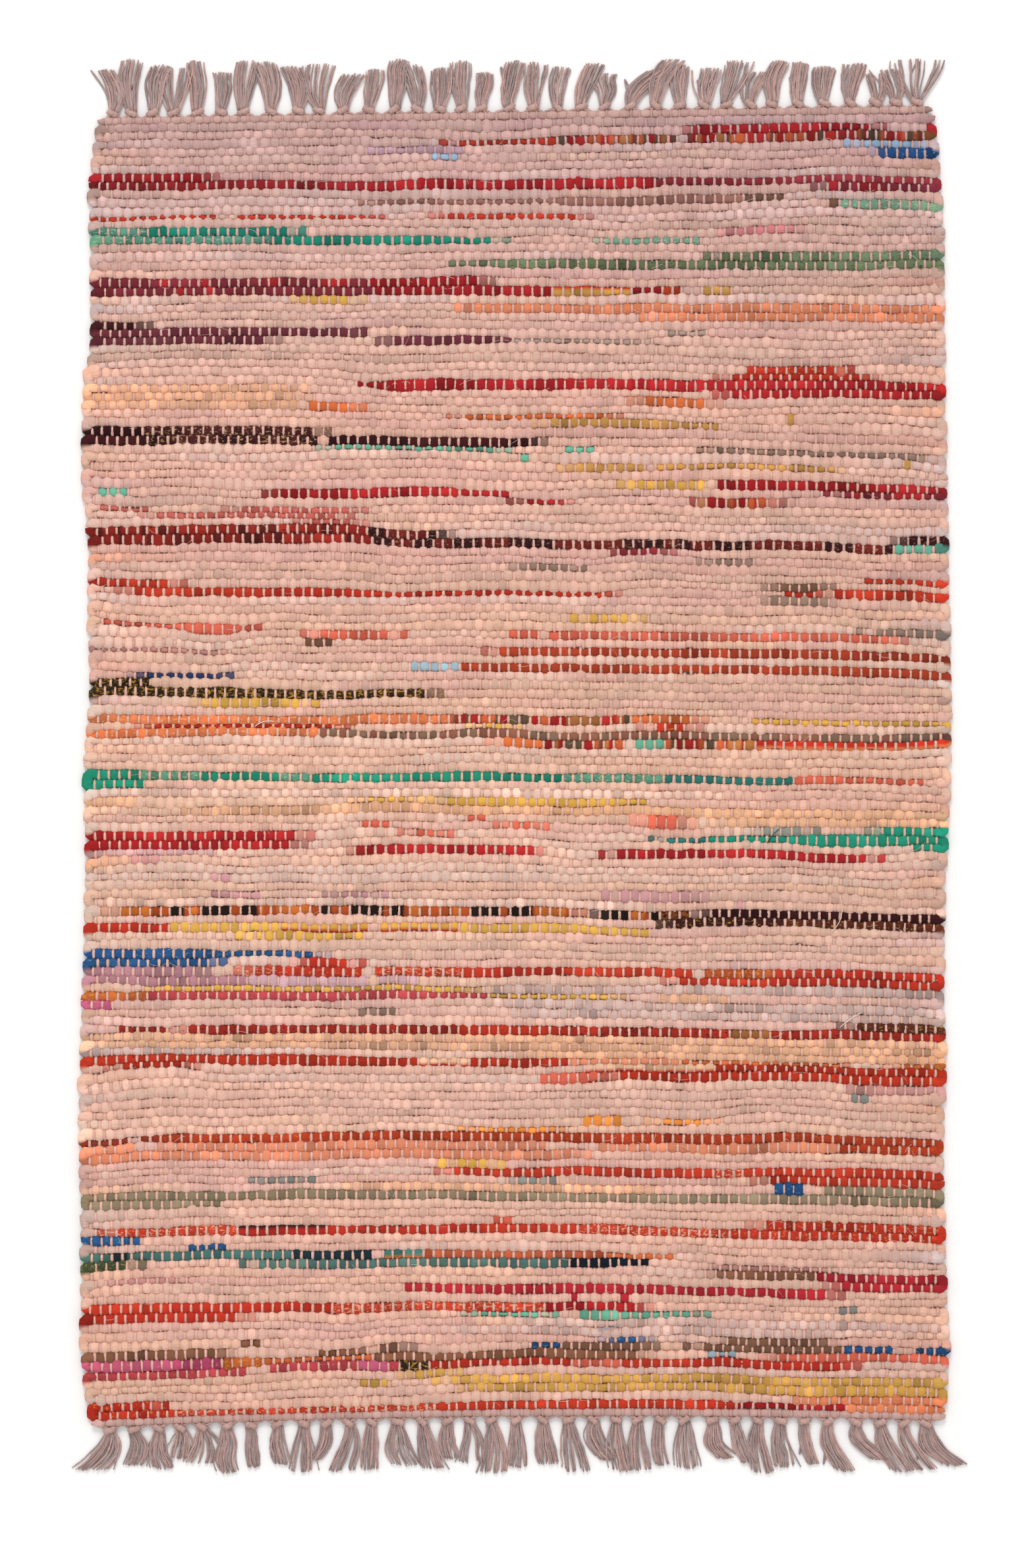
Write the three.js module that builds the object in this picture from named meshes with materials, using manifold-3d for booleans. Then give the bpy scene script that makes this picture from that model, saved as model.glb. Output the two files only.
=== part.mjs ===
import * as THREE from 'three';
import { mergeVertices } from 'three/addons/utils/BufferGeometryUtils.js';
import Module from 'manifold-3d';

// A flat-woven cotton rag rug with a knotted fringe at both ends, lying flat.
// X runs across the rug, along the weft. Y runs along it, along the warp. Z is up, and the
// floor is z = 0. Millimetres.

// Driving dimensions
const fieldWidth = 600;        // selvedge to selvedge
const fieldLength = 900;       // woven length with both headings
const fringeReach = 40;        // from the woven end to the tip of the longest tassel
const clothThickness = 6.5;
const headingThickness = 5.2;
const headingLength = 4.5;
const bandCount = 22;          // runs of weft, each a solid of its own
const picksPerBand = 7;        // weft passes in each run
const bundleCount = 35;        // groups of five warp ends, each tied in one tassel
const solidGap = 0.3;          // between neighbouring solids
const valleyDepth = 1.5;       // of the groove between two picks
const shedLow = 2.2;           // the shed is the slot through the weft that holds the warp
const shedHigh = 4.2;
const shedWidth = 582;
const ribbonGap = 0.6;         // between neighbouring warp bundles
const ribbonThickness = 1.2;
const loopBulge = 3;           // of a weft turn at the selvedge
const selvedgeWander = 1.6;    // slow drift of the selvedge in and out

const bundlePitch = shedWidth / bundleCount;
const bandLength = (fieldLength - 2 * headingLength) / bandCount;
const pickPitch = bandLength / picksPerBand;
const halfField = fieldLength / 2;
const halfWidth = fieldWidth / 2;
const shedMiddle = (shedLow + shedHigh) / 2;

const blush = { color: 0xd8b0a2, roughness: 0.95, metalness: 0 };
const oat = { color: 0xcdb3a6, roughness: 0.95, metalness: 0 };
const apricot = { color: 0xe0b293, roughness: 0.95, metalness: 0 };
const crimson = { color: 0xa3332a, roughness: 0.95, metalness: 0 };
const mauve = { color: 0xb48f88, roughness: 0.9, metalness: 0 };
const palePink = { color: 0xe2b9aa, roughness: 0.9, metalness: 0 };
const weftFinishes = [blush, crimson, apricot, oat];

const wasm = await Module();
wasm.setup();

// The far end is slightly off square, and the near end bows out at its corners.
const farEnd = (u) => 451 + 4.3 * u;
const nearEnd = (u) => -448 + 2.5 * u - 5.5 * u * u;

// Where a point of the square cloth lies on the real one; u is -1 to 1 across the rug.
function alongRug(x, y) {
  const u = x / halfWidth;
  return THREE.MathUtils.lerp(nearEnd(u), farEnd(u), (y + halfField) / fieldLength);
}

// The outer edge of a weft turn: one rounded loop over every two picks.
function selvedge(side, y) {
  const loop = Math.abs(Math.sin((Math.PI * (y + side * pickPitch / 2)) / (2 * pickPitch)));
  const drift = selvedgeWander * Math.sin(y * 0.024 + side);
  return side * (halfWidth - selvedgeWander + loopBulge * (loop - 0.5) + drift);
}

function toManifold(geometry) {
  geometry.deleteAttribute('normal');
  geometry.deleteAttribute('uv');
  const merged = mergeVertices(geometry);
  return new wasm.Manifold(new wasm.Mesh({
    numProp: 3,
    vertProperties: new Float32Array(merged.attributes.position.array),
    triVerts: new Uint32Array(merged.index.array),
  }));
}

function fromManifold(solid) {
  const { vertProperties, triVerts } = solid.getMesh();
  const geometry = new THREE.BufferGeometry();
  geometry.setAttribute('position', new THREE.BufferAttribute(vertProperties, 3));
  geometry.setIndex(new THREE.BufferAttribute(triVerts, 1));
  geometry.computeVertexNormals();
  return geometry;
}

function moveVertices(geometry, place) {
  const position = geometry.attributes.position;
  for (let i = 0; i < position.count; i += 1) {
    const moved = place(position.getX(i), position.getY(i), position.getZ(i));
    position.setXYZ(i, ...moved);
  }
  return geometry;
}

// The section of a run of weft along the rug: flat below, one rounded ridge for each pick above.
function ridgedSection(length, ridges, thickness) {
  const section = new THREE.Shape();
  const pitch = length / ridges;
  section.moveTo(0, 0);
  section.lineTo(length, 0);
  for (let ridge = ridges; ridge > 0; ridge -= 1) {
    section.lineTo(ridge * pitch, thickness - valleyDepth);
    section.lineTo((ridge - 0.28) * pitch, thickness);
    section.lineTo((ridge - 0.72) * pitch, thickness);
  }
  section.lineTo(0, thickness - valleyDepth);
  section.closePath();
  return section;
}

// A run of weft as one flattened sleeve: the two layers of crossings join at the weft turns on
// both selvedges, and the shed between them is open along the rug for the warp.
function weftRun(start, length, ridges, thickness) {
  const section = ridgedSection(length - solidGap, ridges, thickness);
  const columns = [-1, -0.972, 0, 0.972, 1];
  const sleeve = new THREE.ExtrudeGeometry(section, {
    depth: columns.length - 1,
    steps: columns.length - 1,
    bevelEnabled: false,
  });
  moveVertices(sleeve, (alongSection, up, column) => {
    const share = columns[Math.round(column)];
    const y = start + solidGap / 2 + alongSection;
    const atEdge = Math.abs(share) === 1;
    const x = atEdge ? selvedge(share, y) : share * halfWidth;
    return [x, alongRug(x, y), atEdge ? up * 0.78 : up];
  });
  const shed = new THREE.BoxGeometry(shedWidth, 2 * fieldLength, shedHigh - shedLow);
  shed.translate(0, 0, shedMiddle);
  return fromManifold(toManifold(sleeve).subtract(toManifold(shed)));
}

// One tassel and the way into it, from its tip to the shed. Each row is the distance past the
// woven end, the half width, the half thickness and the height of its middle.
function tasselRows(reach) {
  return [
    [reach, 5.6, 1.0, 1.5],
    [reach * 0.66, 6.0, 1.6, 2.1],
    [13, 3.3, 2.2, 2.8],
    [10, 4.0, 3.0, 3.4],
    [6.5, 4.5, 3.3, 3.6],
    [3, 3.6, 2.5, 3.3],
    [0.8, 6.4, 0.7, shedMiddle],
    [-1.5, (bundlePitch - ribbonGap) / 2, ribbonThickness / 2, shedMiddle],
  ];
}

// Five warp ends side by side: a flat ribbon through every shed, gathered into an overhand knot
// and cut as a tassel at each end.
function warpBundle(index) {
  const x = (index - (bundleCount - 1) / 2) * bundlePitch;
  const u = x / halfWidth;
  const trims = [0, 3, 6, 2, 7, 1, 5];
  const sway = 1.1 * (1 - u * u) * Math.sin(index * 1.7);
  const tip = halfField + fringeReach;
  const ends = [
    { side: 1, edge: farEnd(u), lean: 7 * u ** 5 + sway, trim: trims[index % trims.length] },
    { side: -1, edge: nearEnd(u), lean: 40 * u ** 7 - sway, trim: trims[(index + 3) % trims.length] },
  ];
  const stations = ends.map(({ side, edge, lean, trim }) => {
    const reach = tip - trim - side * edge;
    return tasselRows(reach).map(([past, wide, thick, z]) => ({
      x: x + lean * (Math.max(past, 0) / reach) ** 1.2,
      y: edge + side * past,
      z,
      wide,
      thick,
    }));
  });
  const rows = [...stations[0], ...stations[1].reverse()];
  const sides = 6;
  const body = new THREE.CylinderGeometry(1, 1, rows.length - 1, sides, rows.length - 1, false,
    Math.PI / sides);
  moveVertices(body, (across, along, up) => {
    const row = rows[Math.round((rows.length - 1) / 2 - along)];
    return [row.x + across * row.wide, row.y, row.z + up * row.thick];
  });
  body.deleteAttribute('normal');
  body.deleteAttribute('uv');
  const merged = mergeVertices(body);
  merged.computeVertexNormals();
  return merged;
}

const rug = new THREE.Group();

function addPiece(name, geometry, finish) {
  const piece = new THREE.Mesh(geometry, new THREE.MeshStandardMaterial(finish));
  piece.name = name;
  rug.add(piece);
}

const numbered = (stem, number) => `${stem}_${String(number).padStart(2, '0')}`;

for (let band = 0; band < bandCount; band += 1) {
  const start = -halfField + headingLength + band * bandLength;
  const finish = weftFinishes[band % weftFinishes.length];
  addPiece(numbered('weft_band', band + 1),
    weftRun(start, bandLength, picksPerBand, clothThickness), finish);
}
addPiece('near_heading', weftRun(-halfField, headingLength, 2, headingThickness), mauve);
addPiece('far_heading', weftRun(halfField - headingLength, headingLength, 2, headingThickness),
  mauve);
for (let index = 0; index < bundleCount; index += 1) {
  addPiece(numbered('warp_bundle', index + 1), warpBundle(index), palePink);
}

export default rug;
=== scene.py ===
import math

import bpy
import numpy as np
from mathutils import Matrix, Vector


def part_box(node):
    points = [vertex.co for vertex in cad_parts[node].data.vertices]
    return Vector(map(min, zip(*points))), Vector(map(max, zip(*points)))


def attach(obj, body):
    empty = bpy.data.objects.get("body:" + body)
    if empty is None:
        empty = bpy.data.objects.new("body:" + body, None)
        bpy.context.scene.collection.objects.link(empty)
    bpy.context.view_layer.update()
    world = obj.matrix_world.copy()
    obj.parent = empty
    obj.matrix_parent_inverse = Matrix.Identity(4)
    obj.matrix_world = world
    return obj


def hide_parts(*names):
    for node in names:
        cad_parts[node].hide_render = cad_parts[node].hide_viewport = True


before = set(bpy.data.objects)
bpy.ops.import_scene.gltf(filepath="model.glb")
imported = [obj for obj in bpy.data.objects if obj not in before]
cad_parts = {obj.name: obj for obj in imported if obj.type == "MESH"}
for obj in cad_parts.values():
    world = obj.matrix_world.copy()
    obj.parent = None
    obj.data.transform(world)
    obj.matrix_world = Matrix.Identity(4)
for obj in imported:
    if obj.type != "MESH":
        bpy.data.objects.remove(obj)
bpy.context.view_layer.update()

bpy.ops.object.select_all(action="DESELECT")
mm = 0.001                         # everything below is worked out in millimetres
floorClear = 0.05                  # nothing sinks lower than this
rng = np.random.default_rng(12)
print("frame loaded:", len(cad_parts), "nodes")

# The cloth lies flat: X across along the weft, Y along the warp, Z up, the floor at zero.
# Rows of weft are counted from the far end, warp ends from the left selvedge.
weave = {
    "picks": 154,                  # rows of rag
    "picksPerBand": 7,
    "headingRows": 1,              # a row of plain yarns laid together at each end
    "headingPitch": 4.2,
    "tassels": 35,
    "endsPerTassel": 5,
    "oneEndLess": 3,               # every sixth tassel, from this one on, has one warp end less
    "samplesPerEnd": 3,            # rings of the rag from one warp end to the next
    "middleHeight": 3.2,
    "ragHalfHeight": 1.95,
    "undulation": 0.74,            # how far a row rises and falls over the warp
    "turnReach": 4.5,              # of a weft turn beyond the last warp end
    "turnHalfWidth": 3.6,
    "edgeInset": 8.4,              # of the outermost warp end from the selvedge
    "pullFades": 3.5,              # rows over which a knot stops pulling its warp aside
    "looseness": 0.063,            # how uneven the folds of the rag are
}
print("weaving", weave["picks"], "rows")

# How the cloth is out of true, in millimetres
outline = {
    "halfWidth": 300.0,
    "farTilt": 4.3,
    "nearTilt": 2.5,
    "nearBow": 5.5,
    # selvedges, in from the half width, at even steps from the far end to the near end
    "leftIn": [10, 4.5, 6, 6.5, 1, 0.5, 5, 4.5, 6.5, 2, 2.5, 3, 1, 0.5, -1, 0, 0.5, -1.5, 4],
    "rightIn": [6, 2, 1, 1, 0.5, -0.5, -1.5, -2, -3, -3, -0.5, 1.5, 2, -0.5, 2, 1.5, 0.5, -2.5, 3],
    # how far the rows lean from the ends' own slope, share down the cloth: millimetres
    "leanAt": [0, 0.05, 0.33, 0.5, 0.56, 0.66, 0.83, 0.9, 0.985, 1],
    "lean": [0, -6.4, -13.8, -9, -13.6, -10.7, -9.2, -9.9, 5, 0.5],
}
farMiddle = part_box("far_heading")[1][1] / mm - outline["farTilt"] + 0.15
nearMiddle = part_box("near_heading")[0][1] / mm + outline["nearTilt"] + outline["nearBow"] - 0.15


def farEnd(u):
    return farMiddle + outline["farTilt"] * u


def nearEnd(u):
    return nearMiddle + outline["nearTilt"] * u - outline["nearBow"] * u * u


def selvedgeAt(side, v):
    steps = outline["leftIn" if side < 0 else "rightIn"]
    return side * (outline["halfWidth"] - np.interp(v, np.linspace(0, 1, len(steps)), steps))


def blurred(values, reach):
    span = np.arange(-3 * reach, 3 * reach + 1)
    kernel = np.exp(-0.5 * (span / reach) ** 2)
    kernel /= kernel.sum()
    margin = [(0, 0)] * (values.ndim - 1) + [(3 * reach, 3 * reach)]
    wide = np.pad(values, margin, mode="edge")
    return np.apply_along_axis(lambda line: np.convolve(line, kernel, "valid"), -1, wide)


def wander(rows, columns, reach):
    raw = blurred(rng.standard_normal((rows, columns)), reach)
    return raw / raw.std()


def asShare(noise):
    return 1 / (1 + np.exp(-1.7 * noise))


def linear(text):
    channels = np.array([int(text[i:i + 2], 16) for i in (1, 3, 5)]) / 255
    return np.where(channels < 0.04045, channels / 12.92, ((channels + 0.055) / 1.055) ** 2.4)


# The rags: dyed tones, the patch length over which they change in warp ends, a print over
# them with its share, and a second cloth rolled along the near or far edge of the row
rags = {
    "blush": {"tones": ["#E8BAA6"]},
    "rose": {"tones": ["#E0B0A2"]},
    "oat": {"tones": ["#E2B8A2"]},
    "shell": {"tones": ["#E6C0B0"]},
    "peach": {"tones": ["#E9BCA2"]},
    "apricot": {"tones": ["#E8B08A"]},
    "mist": {"tones": ["#DAB8AC"]},
    "lilac": {"tones": ["#D0A4A8"]},
    "crimson": {"tones": ["#BA282A", "#AC2226", "#981C20"], "patch": 5},
    "crimsonFleck": {"tones": ["#B2282E", "#9E2428"], "print": "#3E4430", "share": 0.26},
    "claret": {"tones": ["#A63A42", "#983038"], "patch": 5},
    "rosyRed": {"tones": ["#C46055"], "print": "#DCA090", "share": 0.25},
    "redDark": {"tones": ["#9A2A20", "#5A1C18", "#8A241C"], "print": "#1E1214", "share": 0.25, "patch": 2},
    "wine": {"tones": ["#94303A", "#B02A2E", "#7E2A32"], "patch": 5},
    "raspberry": {"tones": ["#BA2A34"]},
    "vermilion": {"tones": ["#C43A24", "#B63020"]},
    "redCream": {"tones": ["#C03C26"], "print": "#E0AC8A", "share": 0.42},
    "redGold": {"tones": ["#BC3224", "#A8281E"], "print": "#C88A38", "share": 0.3},
    "redBlack": {"tones": ["#B43022", "#9C2A1E"], "print": "#2A1618", "share": 0.34},
    "redEdge": {"tones": ["#E6B892"], "near": "#BE2C22"},
    "blackRed": {"tones": ["#A8281E"], "far": "#2A181A"},
    "redYellow": {"tones": ["#D8A04A"], "far": "#B83424"},
    "redOverOrange": {"tones": ["#C02E20"], "near": "#E08656"},
    "mixedRed": {"tones": ["#B02C28", "#C45A34", "#5E4C38", "#9A1F1E", "#AC6C3C"], "patch": 2},
    "brick": {"tones": ["#B4301C"], "print": "#8A2A1A", "share": 0.35},
    "rust": {"tones": ["#AC3E26", "#9E3624"], "print": "#74401F", "share": 0.3},
    "tiger": {"tones": ["#C4682C", "#A84A22", "#20140F"], "patch": 2},
    "tigerDark": {"tones": ["#8A4A26"], "print": "#1E1412", "share": 0.55},
    "coral": {"tones": ["#DA6650"]},
    "rosePink": {"tones": ["#DB8482"]},
    "apricotDeep": {"tones": ["#E08A68"]},
    "salmon": {"tones": ["#E88A60"], "print": "#ECBC9A", "share": 0.16},
    "orangeDark": {"tones": ["#AA3A1E"], "print": "#C48438", "share": 0.22},
    "orange": {"tones": ["#D66C3A"]},
    "copper": {"tones": ["#B4583A", "#A04A30"], "patch": 5},
    "orangeCream": {"tones": ["#DC784A"], "print": "#ECB490", "share": 0.3},
    "orangeGold": {"tones": ["#B4502C", "#BE6030"], "print": "#D0923A", "share": 0.36},
    "tangerine": {"tones": ["#EE9240"]},
    "yellow": {"tones": ["#DCA84C"]},
    "yellowRed": {"tones": ["#D8A048"], "near": "#B43A26"},
    "lemon": {"tones": ["#D8A650"]},
    "mustard": {"tones": ["#CC9850"]},
    "emerald": {"tones": ["#228E72", "#1E8068"]},
    "emeraldPale": {"tones": ["#549078"], "print": "#A4AC94", "share": 0.4},
    "leaf": {"tones": ["#2E726C"]},
    "mint": {"tones": ["#6AAE92"]},
    "mintPale": {"tones": ["#7CAA8A"], "print": "#CDB8A8", "share": 0.3},
    "teal": {"tones": ["#46706A", "#1C2E36"], "patch": 5},
    "tealPale": {"tones": ["#58786E", "#4A6A66"], "patch": 5},
    "ink": {"tones": ["#121C26"]},
    "tealOrange": {"tones": ["#3F7268"], "near": "#CC6A34"},
    "moss": {"tones": ["#3E4A30"], "print": "#8A7A52", "share": 0.4},
    "sage": {"tones": ["#97866B", "#86785E"]},
    "oliveBlack": {"tones": ["#74845E", "#687450"], "print": "#2A2E22", "share": 0.3},
    "navy": {"tones": ["#265282"], "print": "#6C94AC", "share": 0.25},
    "indigo": {"tones": ["#2A3A66"]},
    "paleBlue": {"tones": ["#9DB6C4"]},
    "slate": {"tones": ["#8A8A84"]},
    "mauve": {"tones": ["#B67E86"]},
    "pinkMauve": {"tones": ["#D2989A"]},
    "duskyRose": {"tones": ["#BE867E"]},
    "magenta": {"tones": ["#C25A78", "#B8486C"], "print": "#D09058", "share": 0.2},
    "pinkRed": {"tones": ["#B8444A"], "print": "#D08850", "share": 0.18},
    "brown": {"tones": ["#785440"]},
    "cocoa": {"tones": ["#A06D5C"]},
    "brownRose": {"tones": ["#86583F"]},
    "ash": {"tones": ["#B09888"]},
    "umber": {"tones": ["#7C6250", "#8C5A4A"], "print": "#A8453A", "share": 0.2, "patch": 2},
    "taupe": {"tones": ["#8E7464"]},
    "maroon": {"tones": ["#44181A", "#321014"]},
    "maroonCream": {"tones": ["#4A1E20", "#3A1618"], "print": "#C09A6C", "share": 0.36, "patch": 3},
    "marled": {"tones": ["#6A201C", "#341416"], "print": "#A0705E", "share": 0.3, "patch": 3},
    "plum": {"tones": ["#743A40", "#682C36"], "patch": 5},
    "darkGold": {"tones": ["#56261C", "#3A1614"], "print": "#C49A3C", "share": 0.28},
    "blackGold": {"tones": ["#2A2018"], "print": "#B8862E", "share": 0.45},
}
groundRags = {"blush": 0.38, "rose": 0.22, "oat": 0.20, "shell": 0.10, "peach": 0.10}

# The weaver's plan, by rag: where each coloured stretch runs. (from, to, down) are centimetres
# from the left selvedge and down from the far end; a fourth number is how fat the row is, with
# one for a plain row. 0 and 60 reach round the selvedge.
plan = {
    "crimson": [
        (41.6, 51.8, 1.05), (51.8, 55.7, 0.75, 0.5), (59, 60, 1), (0, 10, 4.5), (20, 40, 5.2, 1.15),
        (20, 28.6, 11.8), (20, 32.3, 12.2), (38.2, 40.4, 12.2, 0.5), (19.1, 21.4, 19.1, 0.5),
        (21.4, 23.6, 19.1, 1.5), (23.6, 44, 19, 1.3), (43.6, 60, 18.9), (43.6, 60, 19.6),
        (12.7, 26.4, 26.2), (26.4, 30, 26.6, 0.5), (29.8, 34.5, 27, 0.5), (44.1, 60, 25.9), (0, 16, 50),
        (0, 16, 50.6), (18.6, 32.3, 50.7), (35.9, 42.3, 51.1), (42.3, 55.7, 51.2, 0.9), (32, 40, 82.5),
        (45, 53.2, 88.9, 0.45), (0, 0.8, 65.4, 1.3),
    ],
    "mixedRed": [
        (32.7, 40.5, 1.9), (40.5, 41.5, 1.9, 0.5), (42.3, 51.1, 1.75), (51.1, 60, 1.45), (41.8, 49, 27),
        (25.9, 37.7, 42), (32.3, 38, 43.7), (40.5, 46.8, 43.7), (44.5, 48.2, 63.7),
    ],
    "claret": [(40, 60, 4.9, 0.7)],
    "rosyRed": [
        (10, 20, 27.45, 0.55), (3.6, 19, 27.85, 0.6), (1.3, 5, 27.5, 0.4), (14.5, 20, 28.2, 0.45),
    ],
    "redDark": [(0.7, 20, 28.7), (0.7, 20, 29.3)],
    "rosePink": [(44.1, 50, 8.1, 0.9)],
    "copper": [(23.9, 36.6, 78.6)],
    "cocoa": [(19.1, 33.6, 6.2, 0.5), (33.6, 45.9, 6.2)],
    "mintPale": [(52.7, 60, 6.3), (35, 42.7, 8.8, 0.6)],
    "maroonCream": [(4.5, 17.3, 22), (4.5, 16.4, 22.6)],
    "tealPale": [(10.7, 20, 79.4), (20, 33.8, 79.3)],
    "ink": [(33.8, 38.2, 79.2), (38.2, 39.3, 79.2, 0.5)],
    "crimsonFleck": [(0.7, 20, 5.05)],
    "redGold": [
        (45.9, 60, 77), (44.5, 60, 77.6), (45.9, 49, 18), (49, 53.6, 18), (0.5, 6.4, 89.4),
        (0.5, 6.4, 90), (38.6, 43, 42.1, 0.9), (13.6, 19.5, 59.2),
    ],
    "wine": [
        (0.9, 20, 11.8), (0.9, 20, 12.2), (36.4, 41.4, 30, 0.7), (50.5, 55.3, 4.9, 1),
        (55.3, 60, 5.2, 0.9), (51.1, 60, 26.5, 0.6),
    ],
    "oliveBlack": [(25.5, 29.1, 10.3, 0.45), (29.1, 42.7, 10.5), (42.7, 60, 10), (42.7, 60, 10.5)],
    "vermilion": [
        (25, 33, 2.3, 0.45), (1.4, 9.5, 7.3, 0.3), (10.7, 17.3, 7.3, 0.38), (17.3, 20.9, 7.3, 0.28),
        (24.1, 35.5, 7.05, 0.5), (1.3, 7.7, 32.6, 0.7), (2.3, 20, 33.25, 1.05), (20, 37.3, 33.4, 0.5),
        (48.6, 50.5, 33.8, 0.5), (50.5, 60, 33.4), (54.1, 59.1, 32.3, 0.5), (4, 19, 42.3, 0.35),
        (40, 49.1, 60, 0.8), (37.7, 39.1, 86.5), (24.5, 27.7, 89.1, 0.8), (27.7, 45, 88.9, 0.95),
        (49.1, 60, 60, 0.9), (47.7, 60, 59.3), (0.5, 2.5, 56), (2.3, 6.4, 55.9), (26.4, 42.7, 59.1),
        (14.5, 20, 58.9), (17.3, 34.1, 77.2), (24.5, 43.6, 73.1), (24.1, 34.1, 86.4, 0.8), (45.9, 60, 73),
        (46.1, 60, 73.7), (0.7, 17.5, 82.45), (0, 12, 83.1), (39.1, 49.1, 86.5), (49.1, 54.1, 86.7),
        (43.6, 55, 17.9, 0.6),
    ],
    "brown": [
        (45.9, 48.6, 5.9, 0.6), (52, 53.2, 6.1), (15.7, 17.3, 36.7), (19.3, 23.4, 85), (33.4, 40, 85.1),
        (41.4, 52.7, 85), (43.6, 52.5, 85.7), (46.8, 52.7, 32.7, 0.9),
    ],
    "brownRose": [
        (43.2, 51.1, 80.6, 0.9), (11.4, 12.7, 84.8, 0.5), (16.4, 20, 85.6, 0.5), (20.5, 40, 85.7),
        (0, 11, 86),
    ],
    "mint": [
        (16.4, 30, 23, 0.45), (30.1, 30.6, 24.1, 0.6), (33.6, 35.5, 23.1, 0.5), (1.3, 3.2, 26.1, 0.6),
        (56, 60, 30.2), (38.2, 40.5, 43.7), (25.9, 33.2, 82.9, 0.5), (34.8, 37.5, 83.2, 1.3),
        (37.7, 43.6, 83, 0.5),
    ],
    "emerald": [
        (5, 16.1, 8.2, 1.1), (13.6, 25, 8.85), (25, 30, 8.95, 0.6), (0, 4.3, 45.7, 1.25),
        (0.9, 4.3, 46.2), (8.2, 13.6, 45.8), (15.9, 33.2, 46.1), (50.1, 58.2, 50.5, 1.3),
        (58.2, 60, 50.6, 1.2), (43.6, 50.1, 50.45, 0.6), (54.1, 60, 49.4), (57.3, 60, 50, 0.9),
    ],
    "emeraldPale": [
        (0.7, 5, 8.3, 0.9), (0, 13.6, 8.8), (4.3, 8.2, 45.8), (13.6, 15.9, 46, 0.8), (33.2, 40, 46.3),
    ],
    "leaf": [(40, 49.4, 46.35, 0.75), (38.9, 43.6, 50.5, 0.5)],
    "coral": [
        (49.4, 53.6, 46.15, 0.8), (53.6, 56, 46.15, 0.55), (56, 57.5, 46.2, 0.8), (57.5, 58.7, 46.2, 0.5),
        (4, 8, 35.4, 0.3), (1.4, 4.8, 35.1, 0.5), (7.3, 10.9, 35.7, 1.3), (10.9, 12.7, 35.8, 0.6),
        (15, 22.7, 36.2), (30, 31.6, 35.8), (32.7, 41.4, 36.2), (40.5, 57.3, 36.2, 0.9),
        (19.3, 21.8, 49.2, 0.7), (21.8, 26, 49.6, 0.8), (26.4, 28.2, 48.6, 0.6), (28.2, 32.3, 49, 0.7),
        (37.8, 42.5, 49, 1.5), (31.8, 33.6, 66.4), (33.2, 35.7, 66.4, 1.3), (28.6, 30, 76.8, 0.7),
        (34.1, 37.7, 86.5), (47, 60, 86),
    ],
    "yellow": [
        (46.5, 60, 42.25, 0.5), (14.5, 20, 13.1), (7.7, 16.8, 40.8), (26.4, 30.5, 41.9, 0.5),
        (37.3, 43.6, 26), (34.1, 39.3, 34.7), (6.4, 14.1, 55.9), (26.4, 36, 56.3), (36, 39.5, 56.7),
        (10.5, 16.4, 56.6, 0.9), (16.4, 19.3, 56.9, 0.7), (24.8, 29.8, 72.6), (18.6, 23.6, 47, 0.5),
        (24.1, 38.2, 47.5), (38.2, 39.3, 47.3, 0.5), (4.1, 28.2, 60.8, 0.5), (28.2, 38.2, 60.8, 0.4),
    ],
    "yellowRed": [(14.1, 19.8, 55.8), (20.5, 26.8, 55.9)],
    "mustard": [
        (42.7, 45, 12.3), (30.9, 41.4, 21.3), (41.4, 44.5, 21.5, 0.5), (48.4, 48.9, 21.2),
        (33.2, 37.7, 24.7), (40, 53.2, 24.3, 0.5), (56.4, 57.3, 24), (37.7, 39, 24.3, 0.5),
    ],
    "salmon": [
        (25.5, 38.2, 13.7), (38.2, 60, 13.5), (38.2, 60, 14.05), (49, 60, 89.4, 0.9), (53, 60, 90),
    ],
    "ash": [(30, 39.5, 15.9, 0.4), (40.5, 43, 15.4, 0.5)],
    "umber": [(16.8, 60, 42.9, 0.8)],
    "orange": [
        (16.1, 20, 20.2), (25, 37.7, 20.8, 0.5), (37.3, 44.5, 20), (13, 21.6, 86.1, 0.35),
        (38, 43.6, 42, 0.9), (27.7, 32.3, 43.7), (36.6, 40.9, 78.9, 0.5), (41.8, 53, 65.9, 0.5),
    ],
    "orangeCream": [(0.7, 16.8, 41.9), (0.7, 16.8, 42.7), (16.8, 25.9, 42.1)],
    "orangeGold": [(10.3, 13, 86.6, 1.1), (43, 47.7, 59.3), (55, 60, 66, 0.6), (0.7, 5, 61.3, 0.8)],
    "apricot": [
        (0.5, 16, 18.9), (0.5, 16, 19.5), (0.5, 15, 20), (0.5, 3.6, 47.2), (6.8, 60, 48.2),
        (43.6, 60, 48.8), (0.5, 60, 64), (0.5, 60, 64.5), (40, 44.5, 61), (38.9, 40.3, 69.4),
        (30, 60, 65.1), (18, 40, 74),
    ],
    "apricotDeep": [
        (5.5, 32.3, 71.3, 1.1), (0.9, 35.5, 71.8, 1.1), (0, 3.6, 71.9, 1.4), (35.5, 44.5, 71.5),
        (44.5, 52.3, 71.5, 1.35), (33.6, 42, 65.6, 0.8),
    ],
    "maroon": [
        (0.5, 4.5, 22), (0.5, 4.5, 22.6), (17.3, 32.5, 22.55), (42.3, 59.1, 55.3, 0.9),
        (58.2, 60, 55.6, 1.2), (0.5, 5.5, 15.3, 0.8),
    ],
    "marled": [(20, 26.4, 29.1), (20, 26.4, 29.7), (26.4, 56.1, 29.9), (55.9, 59.1, 29.6)],
    "blackGold": [(22.3, 24.1, 86.45, 1.2), (0.5, 5.2, 39.2), (0.5, 25.5, 39.9)],
    "rust": [(27.3, 60, 37.5), (26.4, 60, 38.2), (0.5, 3.6, 71.5, 0.5), (3.9, 5.9, 71, 0.5)],
    "paleBlue": [
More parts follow.
